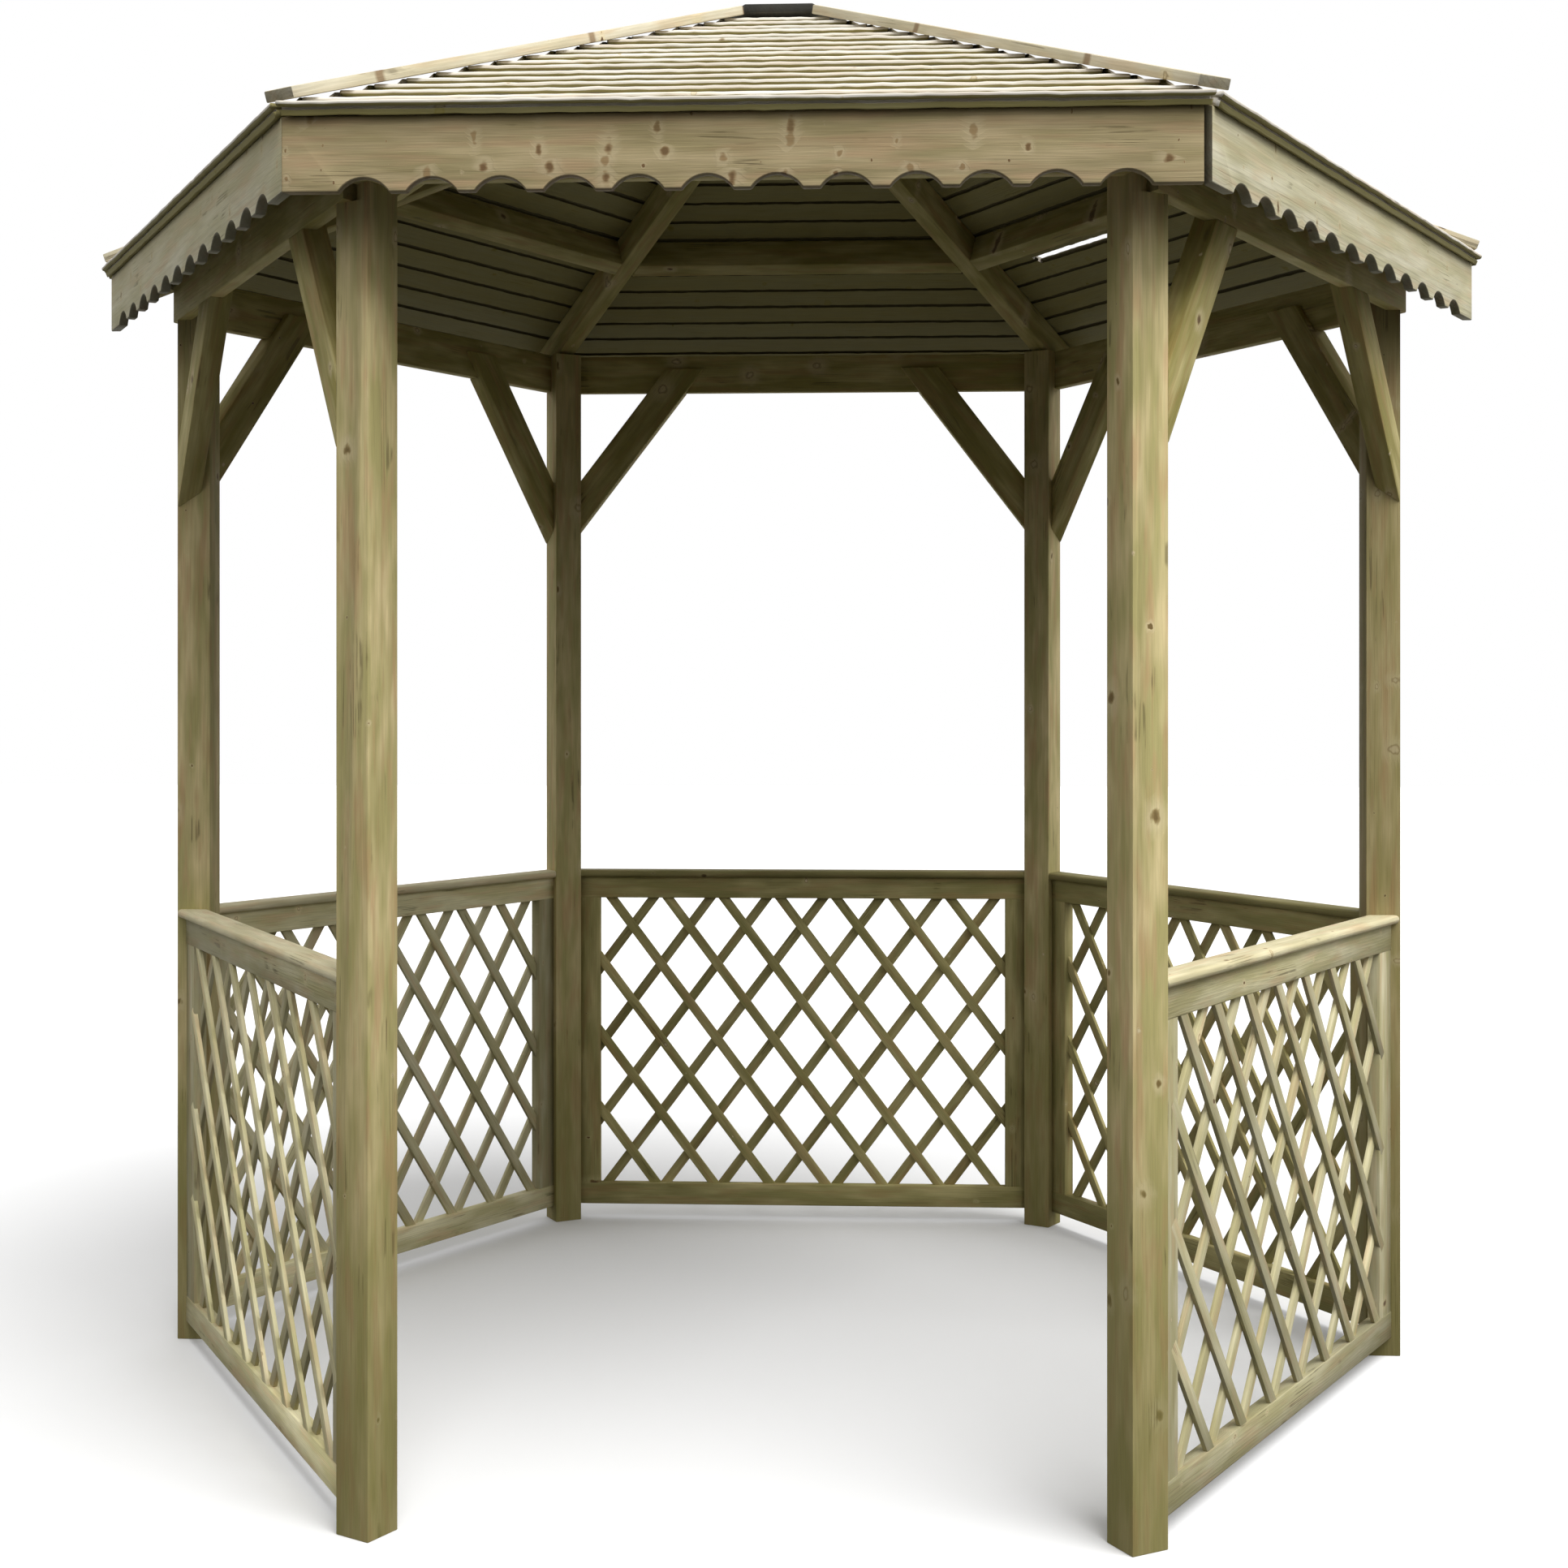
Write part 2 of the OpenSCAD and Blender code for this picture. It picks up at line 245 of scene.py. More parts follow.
def treatedPine(name, **own):
    look = {**pineLook, **own}
    material = bpy.data.materials.new(name)
    material.use_nodes = True
    tree = material.node_tree
    shader = tree.nodes["Principled BSDF"]

    grain = addNode(tree, "ShaderNodeAttribute", attribute_name="grain").outputs["Vector"]
    tone = addNode(tree, "ShaderNodeAttribute", attribute_name="tone").outputs["Fac"]
    end = addNode(tree, "ShaderNodeAttribute", attribute_name="end").outputs["Fac"]
    axis = addNode(tree, "ShaderNodeSeparateXYZ", {0: grain}).outputs
    section = addNode(tree, "ShaderNodeCombineXYZ", {1: axis[1], 2: axis[2]}).outputs[0]
    radius = addNode(tree, "ShaderNodeVectorMath", {0: section}, operation="LENGTH").outputs["Value"]

    # Patterns drawn out along the grain: how many to the metre along it and across it, and their detail
    patterns = {"wander": (1.3, 9, 2), "fibre": (14, 420, 3), "rose": (6.5, 50, 2), "olive": (5.2, 30, 2),
                "blotch": (7.5, 19, 3), "crack": (1.6, 85, 1), "patch": (4.1, 26, 2), "lump": (55, 90, 2)}
    for pattern, (along, across, detail) in patterns.items():
        drawn = addNode(tree, "ShaderNodeMapping", {0: grain, 3: (along, across, across)}).outputs[0]
        shifted = addNode(tree, "ShaderNodeVectorMath", {0: drawn, 1: (len(pattern) * 7.3, across, detail * 3.1)})
        patterns[pattern] = addNode(tree, "ShaderNodeTexNoise", {"Vector": shifted.outputs[0], "Scale": 1.0,
                                    "Detail": float(detail)}).outputs[0]
    fibre = patterns["fibre"]

    def unevenHeight(amount):  # metres over the ground, shifted by the patches
        place = addNode(tree, "ShaderNodeTexCoord").outputs["Object"]
        rise = addNode(tree, "ShaderNodeSeparateXYZ", {0: place}).outputs[2]
        return addNode(tree, "ShaderNodeMath", {0: patterns["patch"], 1: amount, 2: rise},
                       operation="MULTIPLY_ADD").outputs[0]

    # Knots: branches that run out from the heart, one to each cell round and along the log, many too small to see
    step, spread = look["knotStep"] / 1000, math.radians(look["knotSpread"])
    turn = addNode(tree, "ShaderNodeMath", {0: axis[2], 1: axis[1]}, operation="ARCTAN2").outputs[0]
    knotSpot = addNode(tree, "ShaderNodeCombineXYZ", {0: axis[0], 1: turn}).outputs[0]
    knotSpot = addNode(tree, "ShaderNodeVectorMath", {0: knotSpot, 1: (step, spread, 1)}, operation="DIVIDE").outputs[0]
    cell = addNode(tree, "ShaderNodeTexVoronoi", {"Vector": knotSpot, "Scale": 1.0, "Randomness": 0.9},
                   voronoi_dimensions="2D").outputs
    offset = addNode(tree, "ShaderNodeVectorMath", {0: knotSpot, 1: cell["Position"]}, operation="SUBTRACT")
    arc = addNode(tree, "ShaderNodeMath", {0: radius, 1: spread}, operation="MULTIPLY").outputs[0]
    metres = addNode(tree, "ShaderNodeCombineXYZ", {0: step / look["knotLong"], 1: arc}).outputs[0]
    offset = addNode(tree, "ShaderNodeVectorMath", {0: offset.outputs[0], 1: metres}, operation="MULTIPLY")
    knotGap = addNode(tree, "ShaderNodeVectorMath", {0: offset.outputs[0]}, operation="LENGTH").outputs["Value"]
    lump = addNode(tree, "ShaderNodeMath", {0: patterns["lump"], 1: 0.5}, operation="SUBTRACT").outputs[0]
    knotGap = addNode(tree, "ShaderNodeMath", {0: lump, 1: look["knotSize"] / 700, 2: knotGap},
                      operation="MULTIPLY_ADD").outputs[0]
    luck = addNode(tree, "ShaderNodeSeparateColor", {0: cell["Color"]}).outputs
    knotSize = addNode(tree, "ShaderNodeMapRange", {0: luck[0], 1: look["knotShare"], 2: 1.0, 3: 0.0005,
                       4: look["knotSize"] / 1000}).outputs[0]
    zones = {"rim": (1.1, 0.6), "heart": (0.85, 0.25), "halo": (3.4, 0.6)}  # in knot sizes: where each starts, is full
    for zone, (far, near) in zones.items():
        far = addNode(tree, "ShaderNodeMath", {0: knotSize, 1: far}, operation="MULTIPLY").outputs[0]
        near = addNode(tree, "ShaderNodeMath", {0: knotSize, 1: near}, operation="MULTIPLY").outputs[0]
        zones[zone] = addNode(tree, "ShaderNodeMapRange", {0: knotGap, 1: far, 2: near},
                              interpolation_type="SMOOTHSTEP").outputs[0]
    darkKnot = addNode(tree, "ShaderNodeMath", {0: luck[1], 1: look["darkKnots"]}, operation="GREATER_THAN").outputs[0]
    heart = addNode(tree, "ShaderNodeMix", {0: darkKnot, 6: linear(look["heart"]), 7: linear(look["dark"])},
                    data_type="RGBA").outputs[2]

    # Year rings, wandering along the length and bent round the knots, fading out in patches
    bend = addNode(tree, "ShaderNodeMath", {0: patterns["wander"], 1: look["wander"] / 1000, 2: radius},
                   operation="MULTIPLY_ADD").outputs[0]
    bend = addNode(tree, "ShaderNodeMath", {0: zones["halo"], 1: look["knotBend"] / 1000, 2: bend},
                   operation="MULTIPLY_ADD").outputs[0]
    rings = addNode(tree, "ShaderNodeMath", {0: bend, 1: 1000 / look["ring"]}, operation="MULTIPLY").outputs[0]
    rings = addNode(tree, "ShaderNodeMath", {0: rings}, operation="FRACT").outputs[0]
    late = addNode(tree, "ShaderNodeValToRGB", {0: rings})
    late.color_ramp.elements[0].color = (0, 0, 0, 1)
    late.color_ramp.elements[1].color = (0, 0, 0, 1)
    late.color_ramp.elements.new(0.4).color = (0.15, 0.15, 0.15, 1)
    late.color_ramp.elements.new(0.82).color = (1, 1, 1, 1)
    late = late.outputs[0]
    lateShare = addNode(tree, "ShaderNodeMapRange", {0: patterns["patch"], 1: 0.36, 2: 0.64, 4: look["lateShare"]})
    lateShare = addNode(tree, "ShaderNodeMath", {0: late, 1: lateShare.outputs[0]}, operation="MULTIPLY").outputs[0]

    # Seasoning cracks: thin lines along the grain, only here and there
    crack = addNode(tree, "ShaderNodeMath", {0: patterns["crack"], 1: 0.5}, operation="SUBTRACT").outputs[0]
    crack = addNode(tree, "ShaderNodeMath", {0: crack}, operation="ABSOLUTE").outputs[0]
    crack = addNode(tree, "ShaderNodeMapRange", {0: crack, 1: 0.035, 2: 0.012}).outputs[0]
    where = addNode(tree, "ShaderNodeMapRange", {0: patterns["blotch"], 1: 0.6, 2: 0.66, 4: look["crackShare"]})
    crack = addNode(tree, "ShaderNodeMath", {0: crack, 1: where.outputs[0]}, operation="MULTIPLY").outputs[0]

    # Colours laid over each other, each with its share
    oliveShare = addNode(tree, "ShaderNodeMapRange", {0: patterns["olive"], 1: 0.38, 2: 0.62}).outputs[0]
    blotchShare = addNode(tree, "ShaderNodeMapRange", {0: patterns["blotch"], 1: 0.36, 2: 0.64,
                          4: look["oliveShare"]}).outputs[0]
    roseShare = addNode(tree, "ShaderNodeMapRange", {0: patterns["rose"], 1: 0.5, 2: 0.68, 4: look["roseShare"]})
    for zone, share in (("rim", "rimShare"), ("heart", "heartShare"), ("halo", "flareShare")):
        zones[zone] = addNode(tree, "ShaderNodeMath", {0: zones[zone], 1: look[share]}, operation="MULTIPLY").outputs[0]
    colour = addNode(tree, "ShaderNodeMix", {0: oliveShare, 6: linear(look["pale"]), 7: linear(look["olive"])},
                     data_type="RGBA").outputs[2]
    layers = [(blotchShare, linear(look["olive"])), (roseShare.outputs[0], linear(look["rose"])),
              (lateShare, linear(look["late"])), (zones["halo"], linear(look["flare"])),
              (zones["rim"], linear(look["rim"])), (zones["heart"], heart), (crack, linear(look["crack"]))]
    if "stain" in look:  # a brown stain across the board at every nail
        bands = addNode(tree, "ShaderNodeMath", {0: axis[0], 1: 1000 / look["nailStep"], 2: tone},
                        operation="MULTIPLY_ADD").outputs[0]
        bands = addNode(tree, "ShaderNodeMath", {0: patterns["wander"], 1: 0.5, 2: bands}, operation="MULTIPLY_ADD")
        bands = addNode(tree, "ShaderNodeMath", {0: bands.outputs[0], 1: 1.0}, operation="PINGPONG").outputs[0]
        bands = addNode(tree, "ShaderNodeMapRange", {0: bands, 1: 0.045, 2: 0.02, 4: look["stainShare"]}).outputs[0]
        layers.append((bands, linear(look["stain"])))
    if "foot" in look:  # darker and greener towards the ground
        high, low = look["footReach"]
        footTint = addNode(tree, "ShaderNodeMapRange", {0: unevenHeight(look["footUneven"]), 1: high, 2: low,
                       4: look["footShare"]}, interpolation_type="SMOOTHSTEP").outputs[0]
        layers.append((footTint, linear(look["foot"])))
    if "under" in look:  # roof boards: undersides green with painted shade, painted shade in the joints, flats weathered with painted shade
        under = addNode(tree, "ShaderNodeAttribute", attribute_name="under").outputs["Fac"]
        under = addNode(tree, "ShaderNodeMath", {0: under, 1: look["underShare"]}, operation="MULTIPLY").outputs[0]
        # painted shade in the rebate joints
        joint = addNode(tree, "ShaderNodeAttribute", attribute_name="joint").outputs["Fac"]
        joint = addNode(tree, "ShaderNodeMath", {0: joint, 1: look["jointShare"]}, operation="MULTIPLY").outputs[0]
        flat = addNode(tree, "ShaderNodeAttribute", attribute_name="flat").outputs["Fac"]
        # weathering and painted shade on the upward flats, stronger in some patches
        flatWearAndShade = addNode(tree, "ShaderNodeMapRange", {0: patterns["patch"], 1: 0.3, 2: 0.7, 3: look["leastWearAndShade"],
                       4: look["mostWearAndShade"]}).outputs[0]
        flat = addNode(tree, "ShaderNodeMath", {0: flat, 1: flatWearAndShade}, operation="MULTIPLY").outputs[0]
        layers += [(under, linear(look["under"])), (joint, linear(look["joint"])), (flat, linear(look["flat"]))]
    if "eave" in look:  # painted shade: darker close under the roof's edge, the shade the eave casts on the fascia
        low, high = (fasciaTop + reach for reach in look["eaveReach"])
        shaded = addNode(tree, "ShaderNodeMapRange", {0: unevenHeight(look["eaveUneven"]), 1: low, 2: high,
                         4: look["eaveShare"]}, interpolation_type="SMOOTHSTEP").outputs[0]
        layers.append((shaded, linear(look["eave"])))
    for share, tint in layers:
        colour = addNode(tree, "ShaderNodeMix", {0: share, 6: colour, 7: tint}, data_type="RGBA").outputs[2]

    shade = addNode(tree, "ShaderNodeMapRange", {0: fibre, 1: 0.3, 2: 0.7, 3: 0.91, 4: 1.08}).outputs[0]
    toneShade = addNode(tree, "ShaderNodeMapRange", {0: tone, 3: 1 - look["uneven"], 4: 1 + look["uneven"]})
    endShade = addNode(tree, "ShaderNodeMapRange", {0: end, 3: 1.0, 4: look["endShade"]}).outputs[0]
    shade = addNode(tree, "ShaderNodeMath", {0: shade, 1: toneShade.outputs[0]}, operation="MULTIPLY").outputs[0]
    shade = addNode(tree, "ShaderNodeMath", {0: shade, 1: endShade}, operation="MULTIPLY").outputs[0]
    colour = addNode(tree, "ShaderNodeVectorMath", {0: colour, "Scale": shade}, operation="SCALE").outputs[0]

    relief = addNode(tree, "ShaderNodeMath", {0: late, 1: 0.4, 2: fibre}, operation="MULTIPLY_ADD").outputs[0]
    relief = addNode(tree, "ShaderNodeMath", {0: crack, 1: -2.0, 2: relief}, operation="MULTIPLY_ADD").outputs[0]
    bump = addNode(tree, "ShaderNodeBump", {"Strength": 0.5, "Distance": look["relief"] / 1000,
                   "Height": relief}).outputs[0]
    rough = addNode(tree, "ShaderNodeMapRange", {0: fibre, 3: look["rough"] - 0.1, 4: look["rough"] + 0.1})
    tree.links.new(colour, shader.inputs["Base Color"])
    tree.links.new(rough.outputs[0], shader.inputs["Roughness"])
    tree.links.new(bump, shader.inputs["Normal"])
    shader.inputs["IOR"].default_value = 1.45
    shader.inputs["Specular IOR Level"].default_value = 0.25
    return material


postPine = treatedPine("treatedPinePosts", foot="#7c7640", rim="#86703f", dark="#6a5630", darkKnots=0.35,
                       knotShare=0.3, knotSize=10)
# the right post: a copy of the post pine at about half the brightness, painted shade
postPineShaded = treatedPine("treatedPineRightPostShaded", pale="#a4966c", olive="#8a8052", rose="#927650", late="#705f38",
                        foot="#6c6738", rim="#6c5a34", heart="#aa9d78", dark="#564628", flare="#aa9e78", knotShare=0.3,
                        knotSize=8)
framePine = treatedPine("treatedPineFrame", pale="#c6ba82", olive="#978d50", rose="#a88a5a")
# under, joint and flat on the roof pine carry painted shade, set on each board's faces
roofPine = treatedPine("sunBleachedPineRoof", pale="#efebe1", olive="#e1dacc", rose="#e0d0ba", late="#bcac8a",
                       rim="#b09c78", heart="#e2d6b8", dark="#86704f", flare="#ece5d4", under="#7d742a",
                       joint="#2b230e", flat="#bfb7a5", uneven=0.1, knotSize=7)
# the eave colours give painted shade at the top of the fascias, under the roof's edge
fasciaTan = treatedPine("treatedPineFrontFascia", pale="#c9b68e", olive="#aa9c72", rose="#c0a07c", late="#8b774c",
                        rim="#987c54", heart="#a58a62", dark="#735738", flare="#d2c19b", eave="#665a38",
                        endShade=0.35, knotStep=95, knotSpread=36, knotLong=0.7, knotShare=0.35, knotSize=13,
                        darkKnots=0.5)
fasciaPale = treatedPine("treatedPineSideFascias", pale="#e2dcc0", olive="#cac49f", rose="#d3bc98", late="#a08f66",
                         rim="#a48f68", eave="#a39a74", endShade=0.3, knotStep=110, knotSpread=40, knotLong=0.8,
                         knotSize=8, darkKnots=0.5)
hipPine = treatedPine("treatedPineHipBoards", pale="#d8d1bb", olive="#c8bfa2", rose="#ccb694", late="#a99874",
                      stain="#7d603f", nailStep=290)
# the peak cap is drawn dark grey all over
capPine = treatedPine("darkGreyPineCap", pale="#55534c", olive="#494842", rose="#4c463e", late="#383732",
                      rim="#34332f", heart="#433f39", dark="#2d2c28", flare="#55534c", crack="#262522")
trellisPale = treatedPine("treatedPineSideTrellis", pale="#d3cca9", olive="#b3ac80", rose="#c2a982", late="#978661",
                          ring=4, uneven=0.32, knotSize=5)
# the back panels: a darker, greener copy of the trellis pine, painted shade under the roof
trellisPineShaded = treatedPine("treatedPineBackTrellisShaded", pale="#bcb07c", olive="#938c58", rose="#a48a5c", late="#7d6c40",
                           flare="#c0b584", ring=4, uneven=0.12, knotSize=5)
railPine = treatedPine("treatedPineHandrails", pale="#dcd3b0", olive="#c4bb94", rose="#cbb08a", late="#9d8b62",
                       knotSize=6)
# the back handrails: a darker, greener copy of the handrail pine, painted shade under the roof
railPineShaded = treatedPine("treatedPineBackHandrailsShaded", pale="#8f8759", olive="#777144", rose="#82704a", late="#63562f",
                        rim="#5f5230", heart="#8f8560", dark="#4a3b22", flare="#938b60", knotSize=6)
print("materials made")


# Posts, with softened edges
postSettings = {"edge": 0.0015}
for name, degrees in posts.items():
    post = nodeCopy("post_" + name, "timber_post_" + name)
    soften(post, postSettings["edge"])
    layGrain(post, up, bayAxes(degrees)[0])
    dress(post, postPineShaded if name == "right" else postPine, "post_timber", "post_" + name)
print("posts made")


# Wall plates and header, fascias and handrails: straight timbers along the bays
alongSettings = {
    "front_header": ("frame_timber", {"front": framePine}, 0.002),
    "plate_": ("frame_timber", dict.fromkeys(closedBays, framePine), 0.002),
    "fascia_": ("fascia_boards", {"front": fasciaTan, "right_front": fasciaPale, "left_front": fasciaPale}, 0.002),
    # the back and right_back handrails take the painted-shade copy of the handrail pine
    "handrail_": ("handrail_timber", {**dict.fromkeys(closedBays, railPine), "back": railPineShaded,
                                      "right_back": railPineShaded}, 0.001),
}
noseRound = {"handrail_": (0.008, 5)}  # radius and steps of the long edges
darkerFacing = {"down": -0.2, "end": 0.5}  # which faces of a fascia are darkened, by which way they face: ends as end grain, downward scallops as painted shade
for kind, (slot, bays, edge) in alongSettings.items():
    for bay, pine in bays.items():
        node = kind + bay if kind.endswith("_") else kind
        along = bayAxes(allBays[bay])[1]
        board = nodeCopy(node, "timber_" + node)
        if kind in noseRound:
            roundLong(board, along, *noseRound[kind])
        else:
            soften(board, edge)
        layGrain(board, along, up)
        if kind == "fascia_":
            # the ends darken as end grain; the down-facing scallop faces darken with them as painted shade
            darkerFaces = [float(face.normal.z < darkerFacing["down"] or abs(face.normal.dot(along)) > darkerFacing["end"])
                    for face in board.data.polygons]
            board.data.attributes["end"].data.foreach_set("value", darkerFaces)
        dress(board, pine, slot, node)
print("plates, fascias and handrails made")


# Braces, two to a bay
braceSettings = {"edge": 0.003, "angle": math.radians(52.5)}
for bay, degrees in closedBays.items():
    outward, along = bayAxes(degrees)
    pair = loosePieces(nodeCopy("braces_" + bay, "braces"))
    for brace in pair:
        side = -1 if middleOf(brace).dot(along) > 0 else 1
        soften(brace, braceSettings["edge"])
        layGrain(brace, along * side * math.cos(braceSettings["angle"]) + up * math.sin(braceSettings["angle"]),
                 outward)
    dress(joinPieces("timber_braces_" + bay, pair), framePine, "frame_timber", "braces_" + bay)
print("braces made")


# Hip rafters and the boards over the hips run down from the peak, the purlins lie across the slopes
hipSettings = {"hip_rafters": (framePine, "frame_timber", 0.003), "hip_boards": (hipPine, "hip_boards", 0.002)}
for node, (pine, slot, edge) in hipSettings.items():
    lengths = loosePieces(nodeCopy(node, node + "_loose"))
    for length in lengths:
        outward = outwardOf(length)
        soften(length, edge)
        layGrain(length, outward * math.cos(hipAngle) - up * math.sin(hipAngle), outward.cross(up))
    dress(joinPieces("timber_" + node, lengths), pine, slot, node)

purlinSettings = {"edge": 0.003}
lengths = loosePieces(nodeCopy("purlins", "purlins_loose"))
for length in lengths:
    outward = outwardOf(length)
    soften(length, purlinSettings["edge"])
    layGrain(length, outward.cross(up), outward * math.cos(roofAngle) - up * math.sin(roofAngle))
dress(joinPieces("timber_purlins", lengths), framePine, "frame_timber", "purlins")

# Block and cap at the peak
peakSettings = {"king_block": (framePine, "frame_timber", up, 0.003),
                "peak_cap": (capPine, "cap_timber", (0, 1, 0), 0.003)}
for node, (pine, slot, along, edge) in peakSettings.items():
    block = nodeCopy(node, "timber_" + node)
    soften(block, edge)
    dress(layGrain(block, along, (1, 0, 0)), pine, slot, node)
print("roof frame made")


# Trellis panels: a frame of two rails and two stiles, with two layers of crossed laths near its outer face
trellis = {
    "middle": postRing * math.cos(hipCut) + postSide / 2 * math.sin(hipCut),  # out to the middle of the panel
    "foot": 0.038, "height": 0.858, "thick": 0.028, "rail": 0.055, "stile": 0.065,
    "lathWide": 0.024, "lathThick": 0.008, "lathOut": 0.005, "laths": 10, "sideLaths": 3, "lathStep": 0.1485,
    "lathFirst": 0.027, "lathAngle": math.radians(53), "tuck": 0.02, "frameEdge": 0.002, "lathEdge": 0.0007,
    "short": 0.0003, "spare": 0.02, "stileBack": 0.001, "lathTurn": 0.3, "lathShift": 0.0015,
    "lathApart": 1.01,  # the two layers of laths just clear each other
}
# the back and right_back panels take the painted-shade copy of the trellis pine
panelPine = {"right_front": trellisPale, "left_front": trellisPale, "left_back": trellisPale}
# how pale the timbers of a panel are within its pine's range, from 0 to 1
panelTones = {
    "all": {"outer": (0, 0.4), "inner": (0.6, 0.9), "foot": (0, 1), "head": (0, 1), "stile": (0, 1)},
    "right_front": {"outer": (0, 0.25), "head": (0.75, 1), "stile": (0.2, 0.5)},
    "left_front": {"outer": (0.75, 1), "inner": (0, 0.3), "foot": (0.85, 1), "head": (0, 0.15), "stile": (0, 0.2)},
    "left_back": {"outer": (0.4, 0.7), "inner": (0.3, 0.6), "foot": (0.85, 1), "head": (0.95, 1), "stile": (0, 0.1)},
}


def plainStick(length, wide, thick, edge):
    bpy.ops.object.select_all(action="DESELECT")
    bpy.ops.mesh.primitive_cube_add(size=1)
    stick = bpy.context.object
    setPlace(stick, Matrix.Diagonal((length, wide, thick, 1)))
    soften(stick, edge)
    return stick


def framePlace(middle, along, across):
    place = Matrix((along, across, along.cross(across))).transposed().to_4x4()
    place.translation = middle
    return place


def cutToPosts(piece, gap):
    for side in (-1, 1):
        facing = Vector((-math.sin(hipCut), side * math.cos(hipCut), 0))
        cutAway(piece, facing * -gap, facing)


lathMaster = plainStick(1, trellis["lathWide"], trellis["lathThick"], trellis["lathEdge"])
bayHalf = trellis["middle"] * math.tan(hipCut) - postSide / 2 / math.cos(hipCut)
openHalf = bayHalf - trellis["stile"]
openHeight = trellis["height"] - 2 * trellis["rail"]
openFoot = trellis["foot"] + trellis["rail"]
for bay, degrees in closedBays.items():
    sticks = []
    tones = {**panelTones["all"], **panelTones.get(bay, {})}
    overLong = 2 * (bayHalf + trellis["spare"])
    railHeights = {"foot": trellis["foot"] + trellis["rail"] / 2,
                   "head": trellis["foot"] + trellis["height"] - trellis["rail"] / 2}
    for side, z in railHeights.items():
        rail = plainStick(overLong, trellis["rail"], trellis["thick"], trellis["frameEdge"])
        layGrain(rail, (1, 0, 0), (0, 1, 0), tones[side])
        setPlace(rail, framePlace(Vector((trellis["middle"], 0, z)), Vector((0, 1, 0)), up))
        cutToPosts(rail, postSide / 2 + trellis["short"])
        sticks.append(rail)
    for side in (-1, 1):
        stileWide = trellis["stile"] + trellis["spare"]
        stile = plainStick(trellis["height"] - 2 * trellis["stileBack"], stileWide,
                           trellis["thick"] - 2 * trellis["stileBack"], trellis["frameEdge"])
        layGrain(stile, (1, 0, 0), (0, 1, 0), tones["stile"])
        middle = Vector((trellis["middle"], side * (openHalf + stileWide / 2), openFoot + openHeight / 2))
        setPlace(stile, framePlace(middle, up, Vector((0, 1, 0))))
        cutToPosts(stile, postSide / 2 + trellis["short"])
        sticks.append(stile)
    for layer, side in ((1, "outer"), (-1, "inner")):
        for i in range(trellis["laths"]):
            lean = trellis["lathAngle"] + math.radians(draw.uniform(-trellis["lathTurn"], trellis["lathTurn"]))
            start = -openHalf + trellis["lathFirst"] + (i - trellis["sideLaths"]) * trellis["lathStep"]
            start += draw.uniform(-trellis["lathShift"], trellis["lathShift"])
            tuck = trellis["tuck"]
            first = max(-tuck / math.sin(lean), (-openHalf - tuck - start) / math.cos(lean))
            last = min((openHeight + tuck) / math.sin(lean), (openHalf + tuck - start) / math.cos(lean))
            half = (first + last) / 2
            lath = copyPiece(lathMaster)
            setPlace(lath, Matrix.Diagonal((last - first, 1, 1, 1)))
            layGrain(lath, (1, 0, 0), (0, 1, 0), tones[side])
            out = trellis["middle"] + trellis["lathOut"] + layer * trellis["lathThick"] / 2 * trellis["lathApart"]
            middle = Vector((out, layer * (start + half * math.cos(lean)),
                             openFoot + openHeight - half * math.sin(lean)))
            setPlace(lath, framePlace(middle, Vector((0, layer * math.cos(lean), -math.sin(lean))),
                                      Vector((0, layer * math.sin(lean), math.cos(lean)))))
            sticks.append(lath)
    panel = joinPieces("timber_trellis_" + bay, sticks)
    setPlace(panel, Matrix.Rotation(math.radians(degrees), 4, "Z"))
    dress(panel, panelPine.get(bay, trellisPineShaded), "trellis_timber", "trellis_" + bay)
bpy.data.objects.remove(lathMaster)
print("trellis panels made")


# Roof slopes: boards lapped up the slope, each with a rounded nose over a groove, cut at the hips
eaveA = -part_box("roof_front")[0].y
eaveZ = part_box("roof_front")[0].z
roof = {
    "top": 0.112, "course": 0.068, "joint": 0.871, "thick": 0.024, "inner": 0.0095,
    "boardsAbove": 20, "boardsBelow": 9, "least": 0.03,  # counted from the joint; narrowest board at top and eave
    "nose": 0.0051, "grooveTop": 0.0135, "grooveFoot": 0.009, "groove": 0.012, "lip": 0.004, "rebate": 0.009,
    "tongueFoot": 0.006, "vee": 0.0008, "gap": 0.0015, "tongue": 0.0045, "back": 0.004, "hipGap": (0.002, 0.008),
    "noseSteps": 4, "pieces": 64, "spare": 0.01,
    # slack when edges and faces are picked, and which way the flats, undersides and edges face
    "hair": 0.0001, "slack": 0.001, "flatFacing": 0.965, "underFacing": -0.1, "edgeFacing": 0.5,
    "lift": 0.002, "tilt": (-0.7, 1.1), "turn": 0.06, "wave": 0.0035, "waveLength": 0.03,
    # open joint: bay, distance out, how far the boards above and below keep back from it, from, to
    "slot": ("right_back", 0.871, (0.007, 0.01), -0.0667, 0.3333),
}
courses = [roof["joint"] + roof["course"] * i for i in range(-roof["boardsAbove"], roof["boardsBelow"] + 1)]
courses = [roof["top"], *(a for a in courses if roof["top"] + roof["least"] < a < eaveA - roof["least"]), eaveA]
masterWide = roof["course"] / math.cos(roofAngle)


def lengthwise(a, b):  # on a board one metre long
    return abs(a.y - b.y) > 0.9


